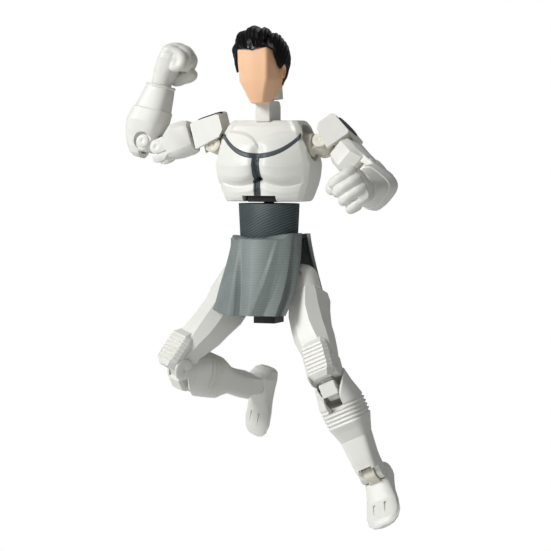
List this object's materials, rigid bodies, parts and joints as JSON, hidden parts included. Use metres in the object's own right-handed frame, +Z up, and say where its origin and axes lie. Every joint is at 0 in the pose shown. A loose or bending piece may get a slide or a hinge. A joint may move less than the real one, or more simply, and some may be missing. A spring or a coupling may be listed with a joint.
{
  "type": "humanoid robot kit",
  "caption": "Humanoid figure kit: armour shells over a pinned inner frame, pleated skirt panels, and jointed neck, waist, arms and legs, held in a leaping pose.",
  "frame": {"origin": "centre of the mouth of the display stand bore in the middle of the back", "axes": "+Z up the standing figure, -Y the way it faces, +X towards its left side"},
  "size_m": [0.0862, 0.058, 0.1388],
  "materials": {
    "white": "satin moulded",
    "ivory": "matte moulded",
    "face": "matte moulded",
    "hair": "gloss moulded",
    "skirt": "matte printed",
    "dark_grey": "matte printed",
    "black": "matte moulded"
  },
  "bodies": {
    "chest": {"chest_core": "ivory", "chest_front": "white", "chest_back": "white", "collar_stripe": "dark_grey", "zip_strip": "dark_grey", "waist_joint": "black", "neck_pin": "ivory"},
    "neck": {"neck": "white"},
    "head": {"head_core": "ivory", "face_plate": "face", "hair": "hair"},
    "waist": {"waist": "dark_grey"},
    "pelvis": {"pelvis": "black", "waist_pin": "ivory"},
    "skirt_front": {"skirt_front": "skirt"},
    "skirt_back": {"skirt_back": "skirt"},
    "shoulder_link_left": {"shoulder_link_left": "ivory"},
    "shoulder_left": {"shoulder_core_left": "ivory", "shoulder_pin_left": "ivory", "shoulder_cap_left": "white", "shoulder_disc_left": "black"},
    "upper_arm_left": {"upper_arm_left": "white"},
    "elbow_left": {"elbow_link_left": "ivory", "elbow_pins_left": "ivory"},
    "forearm_left": {"forearm_left": "white"},
    "hand_left": {"hand_left": "white"},
    "hip_link_left": {"hip_link_left": "ivory"},
    "hip_left": {"hip_cap_left": "white", "hip_pin_left": "ivory"},
    "thigh_left": {"thigh_left": "white", "knee_cap_left": "white"},
    "knee_left": {"knee_link_left": "ivory", "knee_pins_left": "white"},
    "shin_left": {"shin_left": "white"},
    "foot_left": {"foot_left": "white", "ankle_link_left": "ivory", "ankle_pin_left": "ivory"},
    "shoulder_link_right": {"shoulder_link_right": "ivory"},
    "shoulder_right": {"shoulder_core_right": "ivory", "shoulder_pin_right": "ivory", "shoulder_cap_right": "white", "shoulder_disc_right": "black"},
    "upper_arm_right": {"upper_arm_right": "white"},
    "elbow_right": {"elbow_link_right": "ivory", "elbow_pins_right": "ivory"},
    "forearm_right": {"forearm_right": "white"},
    "hand_right": {"hand_right": "white"},
    "hip_link_right": {"hip_link_right": "ivory"},
    "hip_right": {"hip_cap_right": "white", "hip_pin_right": "ivory"},
    "thigh_right": {"thigh_right": "white", "knee_cap_right": "white"},
    "knee_right": {"knee_link_right": "ivory", "knee_pins_right": "white"},
    "shin_right": {"shin_right": "white"},
    "foot_right": {"foot_right": "white", "ankle_link_right": "ivory", "ankle_pin_right": "ivory"}
  },
  "joints": [
    {"name": "neck_nod", "type": "hinge", "parent": "chest", "child": "neck", "pos_m": [0, -0.007, 0.0054], "axis": [1, 0, 0], "range_deg": [-10, 10]},
    {"name": "head_turn", "type": "hinge", "parent": "neck", "child": "head", "pos_m": [0, -0.007, 0.014], "axis": [-0.0698, 0, 0.9976], "range_deg": [-50, 50]},
    {"name": "waist_turn", "type": "hinge", "parent": "chest", "child": "waist", "pos_m": [0, -0.0065, -0.0147], "axis": [0, 0, 1], "range_deg": [-35, 35]},
    {"name": "pelvis_bend", "type": "hinge", "parent": "waist", "child": "pelvis", "pos_m": [0, -0.0065, -0.03], "axis": [1, 0, 0], "range_deg": [-7, 7]},
    {"name": "skirt_front_flap", "type": "hinge", "parent": "pelvis", "child": "skirt_front", "pos_m": [0, -0.0132, -0.029], "axis": [-1, 0, 0], "range_deg": [0, 18]},
    {"name": "skirt_back_flap", "type": "hinge", "parent": "pelvis", "child": "skirt_back", "pos_m": [0, 0.0002, -0.029], "axis": [1, 0, 0], "range_deg": [0, 18]},
    {"name": "shoulder_swing_left", "type": "hinge", "parent": "chest", "child": "shoulder_link_left", "pos_m": [0.0163, -0.0065, 0.0015], "axis": [-1, 0, 0], "range_deg": [-34, 61]},
    {"name": "shoulder_raise_left", "type": "hinge", "parent": "shoulder_link_left", "child": "shoulder_left", "pos_m": [0.0163, -0.0065, 0.0015], "axis": [0, -0.829, 0.5592], "range_deg": [-31, 39]},
    {"name": "arm_twist_left", "type": "hinge", "parent": "shoulder_left", "child": "upper_arm_left", "pos_m": [0.01966, -0.00475, 0.0041], "axis": [-0.682, 0.409, 0.6063], "range_deg": [-33, 37]},
    {"name": "elbow_upper_left", "type": "hinge", "parent": "upper_arm_left", "child": "elbow_left", "pos_m": [0.03092, -0.01149, -0.0059], "axis": [-0.6516, 0.0366, -0.7576], "range_deg": [-7, 43]},
    {"name": "elbow_lower_left", "type": "hinge", "parent": "elbow_left", "child": "forearm_left", "pos_m": [0.03372, -0.01377, -0.00842], "axis": [-0.6516, 0.0366, -0.7576], "range_deg": [-50, 32]},
    {"name": "wrist_turn_left", "type": "hinge", "parent": "forearm_left", "child": "hand_left", "pos_m": [0.03525, -0.03006, -0.01053], "axis": [-0.093, 0.9875, 0.1276], "range_deg": [-90, 90]},
    {"name": "hip_swing_left", "type": "hinge", "parent": "pelvis", "child": "hip_link_left", "pos_m": [0.0103, -0.0065, -0.0365], "axis": [-1, 0, 0], "range_deg": [-36, 4]},
    {"name": "hip_spread_left", "type": "hinge", "parent": "hip_link_left", "child": "hip_left", "pos_m": [0.0103, -0.0065, -0.0365], "axis": [0, -0.9135, 0.4067], "range_deg": [-17, 5]},
    {"name": "thigh_twist_left", "type": "hinge", "parent": "hip_left", "child": "thigh_left", "pos_m": [0.0103, -0.0065, -0.0365], "axis": [-0.3746, 0.3771, 0.847], "range_deg": [-10, 22]},
    {"name": "knee_upper_left", "type": "hinge", "parent": "thigh_left", "child": "knee_left", "pos_m": [0.02127, -0.01809, -0.06132], "axis": [0.9131, -0.0086, 0.4077], "range_deg": [-20, 50]},
    {"name": "knee_lower_left", "type": "hinge", "parent": "knee_left", "child": "shin_left", "pos_m": [0.02355, -0.0183, -0.06643], "axis": [0.9131, -0.0086, 0.4077], "range_deg": [-6, 42]},
    {"name": "ankle_left", "type": "hinge", "parent": "shin_left", "child": "foot_left", "pos_m": [0.03393, -0.01609, -0.08962], "axis": [0.9131, -0.0086, 0.4077], "range_deg": [-41, 1]},
    {"name": "shoulder_swing_right", "type": "hinge", "parent": "chest", "child": "shoulder_link_right", "pos_m": [-0.0163, -0.0065, 0.0015], "axis": [-1, 0, 0], "range_deg": [-9, 86]},
    {"name": "shoulder_raise_right", "type": "hinge", "parent": "shoulder_link_right", "child": "shoulder_right", "pos_m": [-0.0163, -0.0065, 0.0015], "axis": [0, 0.9877, -0.1564], "range_deg": [-60, 10]},
    {"name": "arm_twist_right", "type": "hinge", "parent": "shoulder_right", "child": "upper_arm_right", "pos_m": [-0.01772, -0.00582, 0.00582], "axis": [-0.9511, -0.0483, -0.3052], "range_deg": [-26, 14]},
    {"name": "elbow_upper_right", "type": "hinge", "parent": "upper_arm_right", "child": "elbow_right", "pos_m": [-0.03341, -0.00661, 0.00078], "axis": [-0.0216, 0.9957, -0.0905], "range_deg": [-40, 10]},
    {"name": "elbow_lower_right", "type": "hinge", "parent": "elbow_right", "child": "forearm_right", "pos_m": [-0.03749, -0.00655, 0.00244], "axis": [-0.0216, 0.9957, -0.0905], "range_deg": [-80, 2]},
    {"name": "wrist_turn_right", "type": "hinge", "parent": "forearm_right", "child": "hand_right", "pos_m": [-0.03405, -0.00502, 0.0185], "axis": [0.2086, 0.093, 0.9736], "range_deg": [-90, 90]},
    {"name": "hip_swing_right", "type": "hinge", "parent": "pelvis", "child": "hip_link_right", "pos_m": [-0.0103, -0.0065, -0.0365], "axis": [-1, 0, 0], "range_deg": [-38, 2]},
    {"name": "hip_spread_right", "type": "hinge", "parent": "hip_link_right", "child": "hip_right", "pos_m": [-0.0103, -0.0065, -0.0365], "axis": [0, 0.8988, -0.4384], "range_deg": [-20, 2]},
    {"name": "thigh_twist_right", "type": "hinge", "parent": "hip_right", "child": "thigh_right", "pos_m": [-0.0103, -0.0065, -0.0365], "axis": [-0.4226, -0.3973, -0.8146], "range_deg": [-19, 5]},
    {"name": "knee_upper_right", "type": "hinge", "parent": "thigh_right", "child": "knee_right", "pos_m": [-0.02291, -0.01862, -0.06026], "axis": [0.8569, -0.4678, -0.2164], "range_deg": [-68, 2]},
    {"name": "knee_lower_right", "type": "hinge", "parent": "knee_right", "child": "shin_right", "pos_m": [-0.02227, -0.01535, -0.06476], "axis": [0.8569, -0.4678, -0.2164], "range_deg": [-44, 4]},
    {"name": "ankle_right", "type": "hinge", "parent": "shin_right", "child": "foot_right", "pos_m": [-0.01112, 0.00715, -0.06923], "axis": [0.8569, -0.4678, -0.2164], "range_deg": [-7, 35]}
  ]
}
